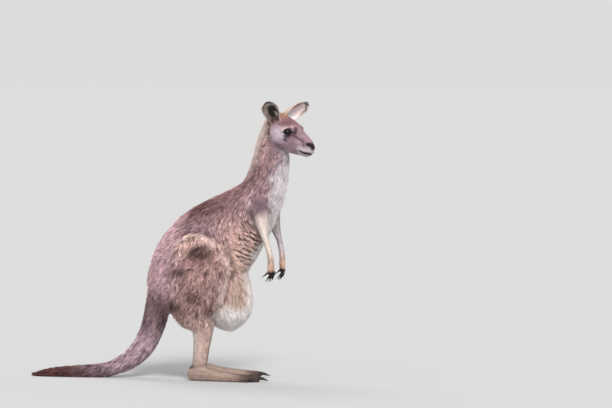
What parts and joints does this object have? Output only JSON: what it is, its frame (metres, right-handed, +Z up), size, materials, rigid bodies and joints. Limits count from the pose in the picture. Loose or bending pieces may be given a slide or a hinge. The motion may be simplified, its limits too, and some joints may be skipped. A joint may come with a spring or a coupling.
{
  "type": "eastern grey kangaroo",
  "caption": "Still life-size model of an adult female kangaroo, standing upright on its long hind feet and tail with its head turned aside.",
  "frame": {"origin": "on the floor, under the middle of the animal's box", "axes": "+X forward, the way the body faces, +Y to the animal's left, +Z up"},
  "size_m": [1.099, 0.324, 1.0551],
  "materials": {
    "coat_grey": "short grey-brown fur, matt",
    "coat_pale": "short pale buff to white fur, matt",
    "coat_dark": "short blackish fur, matt",
    "claw": "black horn, worn smooth",
    "eye": "wet, dark brown"
  },
  "bodies": {
    "root": {"claw_fifth_toe_left": "claw", "claw_fifth_toe_right": "claw", "claw_finger_1_left": "claw", "claw_finger_1_right": "claw", "claw_finger_2_left": "claw", "claw_finger_2_right": "claw", "claw_finger_3_left": "claw", "claw_finger_3_right": "claw", "claw_finger_4_left": "claw", "claw_finger_4_right": "claw", "claw_finger_5_left": "claw", "claw_finger_5_right": "claw", "claw_fourth_toe_left": "claw", "claw_fourth_toe_right": "claw", "claw_second_toe_left": "claw", "claw_second_toe_right": "claw", "claw_third_toe_left": "claw", "claw_third_toe_right": "claw", "ear_left": "coat_grey", "ear_right": "coat_grey", "eye_left": "eye", "eye_right": "eye", "foot_left": "coat_pale", "foot_right": "coat_pale", "forearm_left": "coat_pale", "forearm_right": "coat_pale", "hand_left": "coat_dark", "hand_right": "coat_dark", "head": "coat_grey", "neck": "coat_grey", "pouch": "coat_pale", "shank_left": "coat_pale", "shank_right": "coat_pale", "tail_middle": "coat_grey", "tail_root": "coat_grey", "tail_tip": "coat_dark", "thigh_left": "coat_grey", "thigh_right": "coat_grey", "trunk": "coat_grey", "upper_arm_left": "coat_grey", "upper_arm_right": "coat_grey"}
  },
  "joints": []
}
